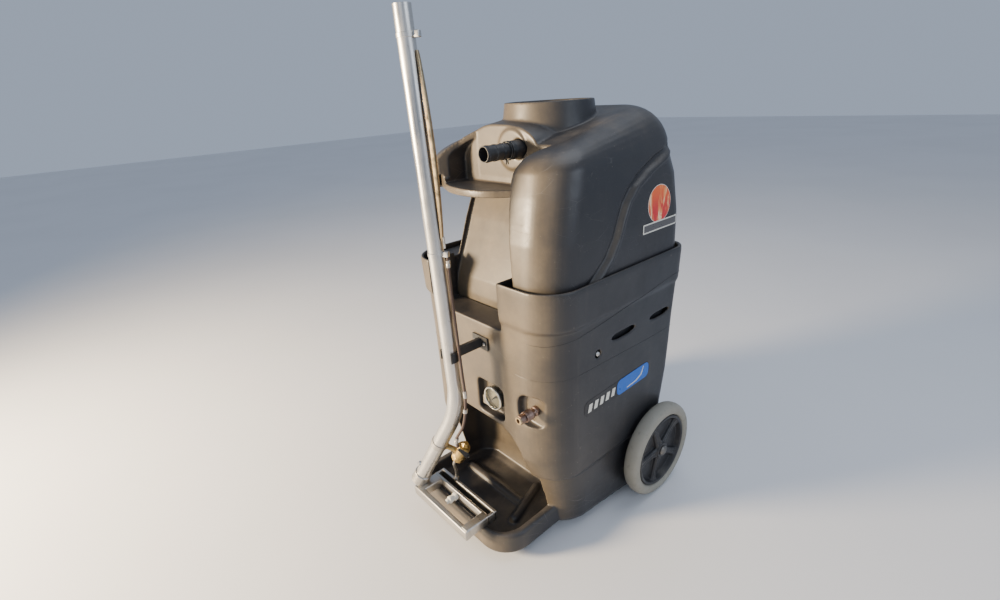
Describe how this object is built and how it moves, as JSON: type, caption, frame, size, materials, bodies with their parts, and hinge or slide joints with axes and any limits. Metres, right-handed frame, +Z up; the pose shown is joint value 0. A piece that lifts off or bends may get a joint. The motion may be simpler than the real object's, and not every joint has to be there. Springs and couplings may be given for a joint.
{
  "type": "carpet cleaner machine",
  "caption": "Upright portable carpet extractor: stacked black tanks on rear wheels, front pressure gauge and coupler, and a clipped-on stainless floor wand with spray valve.",
  "frame": {"origin": "floor level under the middle of the bounding box", "axes": "+Z up, -Y the front with gauge and wand, +X the machine's own right as seen from the front's viewer"},
  "size_m": [0.569, 0.6649, 1.1585],
  "materials": {
    "body_plastic": "rotomoulded black polyethylene, satin, scuffed",
    "hub_plastic": "black moulded nylon",
    "tyre": "grey non-marking tyre rubber",
    "black_rubber": "black rubber",
    "stainless": "brushed stainless steel",
    "chrome": "bright plated",
    "aluminium": "plain sheet and cast housings",
    "black_steel": "black powder coat",
    "brass": "turned brass",
    "white_plastic": "natural white plastic",
    "dial_white": "printed white dial",
    "red_plastic": "red plastic",
    "clear": "clear gauge lens"
  },
  "bodies": {
    "machine": {"lower_body": "body_plastic", "base_plate": "aluminium", "foot_left": "black_rubber", "foot_right": "black_rubber", "anchor_bolt_left": "stainless", "anchor_bolt_right": "stainless", "axle": "stainless", "axle_cap_left": "stainless", "axle_cap_right": "stainless", "vacuum_motor_left": "aluminium", "vacuum_motor_right": "aluminium", "pump_motor": "black_steel", "pump_head": "brass", "heater": "stainless", "vacuum_duct": "body_plastic", "pump_hose": "black_rubber", "switch_panel": "aluminium", "pump_switch_frame": "hub_plastic", "vacuum_switch_left_frame": "hub_plastic", "vacuum_switch_right_frame": "hub_plastic", "power_inlet_left": "hub_plastic", "power_inlet_right": "hub_plastic", "drain_valve": "brass", "gauge_case": "stainless", "gauge_dial": "dial_white", "gauge_bezel": "chrome", "gauge_lens": "clear", "gauge_bracket": "black_steel", "quick_coupler": "brass", "wand_clip": "black_steel", "clip_screw_1": "stainless", "clip_screw_2": "stainless"},
    "tank": {"recovery_tank": "body_plastic", "hose_barb": "hub_plastic", "hose_clamp": "stainless", "standpipe": "hub_plastic", "float_cage": "white_plastic"},
    "float": {"float_ball": "red_plastic"},
    "wheel_left": {"tyre_left": "tyre", "hub_left": "hub_plastic"},
    "wheel_right": {"tyre_right": "tyre", "hub_right": "hub_plastic"},
    "wand": {"wand_tube": "stainless", "wand_leg": "stainless", "wand_head": "stainless", "spray_jet": "white_plastic", "spray_valve": "brass", "jet_pipe": "brass", "rod_guide": "black_steel", "cable_stop": "black_steel", "cable_sheath": "black_rubber"},
    "trigger": {"trigger_rod": "brass"},
    "valve_arm": {"valve_lever": "black_steel"},
    "needle": {"gauge_needle": "red_plastic"},
    "sleeve": {"coupler_sleeve": "brass"},
    "pump_rocker": {"pump_switch": "red_plastic"},
    "vacuum_rocker_left": {"vacuum_switch_left": "hub_plastic"},
    "vacuum_rocker_right": {"vacuum_switch_right": "hub_plastic"},
    "drain_handle": {"drain_lever": "red_plastic"}
  },
  "joints": [
    {"name": "tank_lift", "type": "slide", "parent": "machine", "child": "tank", "axis": [0, 0, 1], "range_m": [0, 0.25]},
    {"name": "float_rise", "type": "slide", "parent": "tank", "child": "float", "axis": [0, 0, 1], "range_m": [0, 0.026]},
    {"name": "wheel_left_spin", "type": "hinge", "parent": "machine", "child": "wheel_left", "pos_m": [-0.26, 0.1894, 0.127], "axis": [1, 0, 0], "continuous": true},
    {"name": "wheel_right_spin", "type": "hinge", "parent": "machine", "child": "wheel_right", "pos_m": [0.26, 0.1894, 0.127], "axis": [1, 0, 0], "continuous": true},
    {"name": "wand_lift", "type": "slide", "parent": "machine", "child": "wand", "axis": [0, -0.6, 0.8], "range_m": [0, 0.1]},
    {"name": "trigger_pull", "type": "slide", "parent": "wand", "child": "trigger", "axis": [0.0021, -0.031, 0.9995], "range_m": [0, 0.012], "stiffness_N_per_m": 800, "springref_m": -0.003},
    {"name": "valve_turn", "type": "hinge", "parent": "wand", "child": "valve_arm", "pos_m": [0.0222, -0.2486, 0.222], "axis": [1, 0, 0], "range_deg": [-22, 0]},
    {"name": "needle_turn", "type": "hinge", "parent": "machine", "child": "needle", "pos_m": [0.044, -0.1679, 0.357], "axis": [0, 1, 0], "range_deg": [0, 270], "stiffness_Nm_per_rad": 0.0004, "springref_deg": -28.65},
    {"name": "sleeve_slide", "type": "slide", "parent": "machine", "child": "sleeve", "axis": [0, 1, 0], "range_m": [0, 0.006], "stiffness_N_per_m": 600, "springref_m": -0.004},
    {"name": "pump_rocker_tilt", "type": "hinge", "parent": "machine", "child": "pump_rocker", "pos_m": [-0.065, 0.2527, 0.245], "axis": [1, 0, 0], "range_deg": [-20, 0]},
    {"name": "vacuum_rocker_left_tilt", "type": "hinge", "parent": "machine", "child": "vacuum_rocker_left", "pos_m": [-0.037, 0.2527, 0.245], "axis": [1, 0, 0], "range_deg": [-20, 0]},
    {"name": "vacuum_rocker_right_tilt", "type": "hinge", "parent": "machine", "child": "vacuum_rocker_right", "pos_m": [-0.009, 0.2527, 0.245], "axis": [1, 0, 0], "range_deg": [-20, 0]},
    {"name": "drain_turn", "type": "hinge", "parent": "machine", "child": "drain_handle", "pos_m": [-0.15, 0.2904, 0.3488], "axis": [0, 0, 1], "range_deg": [0, 90]}
  ],
  "couplings": [
    {"joint": "valve_turn", "follows": "trigger_pull", "rad_per_m": -30}
  ]
}
